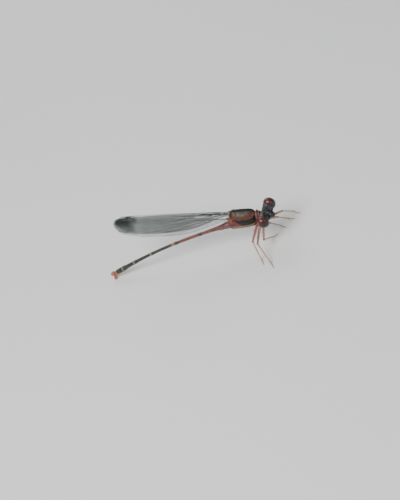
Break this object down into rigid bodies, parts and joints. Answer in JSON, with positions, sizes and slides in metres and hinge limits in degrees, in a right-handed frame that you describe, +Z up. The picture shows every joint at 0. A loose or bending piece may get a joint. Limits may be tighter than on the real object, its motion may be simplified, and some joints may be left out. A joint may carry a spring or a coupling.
{
  "type": "damselfly, life-size still model",
  "caption": "Life-size still damselfly, red and black, standing with smoky wings closed over its back.",
  "frame": {"origin": "centre of the bounding box on the floor that the feet and tail end rest on", "axes": "+X along the body towards the head, +Y to the insect's left, +Z up"},
  "size_m": [0.04, 0.0139, 0.0135],
  "materials": {
    "thorax": "satin cuticle, olive-brown stripe between black bands, red and pink sides",
    "prothorax": "satin cuticle, dark red",
    "head": "glossy blue-black face, olive back of the head",
    "eyes": "glossy, dark red-brown, darker below",
    "antennae": "satin, dark brown",
    "abdomen_red": "satin cuticle, red with black rings at the joints",
    "abdomen_dark": "satin cuticle, green-black with pale rings at the joints",
    "tail_tip": "satin cuticle, salmon red",
    "wings": "clear smoky membrane with dense dark veins, darkest at the tip",
    "thighs": "satin cuticle, reddish pink",
    "shins": "satin cuticle, pale yellow-brown with dark lines"
  },
  "bodies": {
    "root": {"synthorax": "thorax", "prothorax": "prothorax", "head": "head", "eye_left": "eyes", "eye_right": "eyes", "antenna_left": "antennae", "antenna_right": "antennae", "claspers": "tail_tip", "forewing_left": "wings", "forewing_right": "wings", "hindwing_left": "wings", "hindwing_right": "wings", "abdomen_1": "abdomen_red", "abdomen_2": "abdomen_red", "abdomen_3": "abdomen_red", "abdomen_4": "abdomen_red", "abdomen_5": "abdomen_dark", "abdomen_6": "abdomen_dark", "abdomen_7": "abdomen_dark", "abdomen_8": "abdomen_dark", "abdomen_9": "abdomen_dark", "abdomen_10": "tail_tip", "leg_front_right_thigh": "thighs", "leg_front_right_shin": "shins", "leg_front_right_foot": "shins", "leg_front_left_thigh": "thighs", "leg_front_left_shin": "shins", "leg_front_left_foot": "shins", "leg_middle_right_thigh": "thighs", "leg_middle_right_shin": "shins", "leg_middle_right_foot": "shins", "leg_middle_left_thigh": "thighs", "leg_middle_left_shin": "shins", "leg_middle_left_foot": "shins", "leg_hind_right_thigh": "thighs", "leg_hind_right_shin": "shins", "leg_hind_right_foot": "shins", "leg_hind_left_thigh": "thighs", "leg_hind_left_shin": "shins", "leg_hind_left_foot": "shins"}
  },
  "joints": []
}
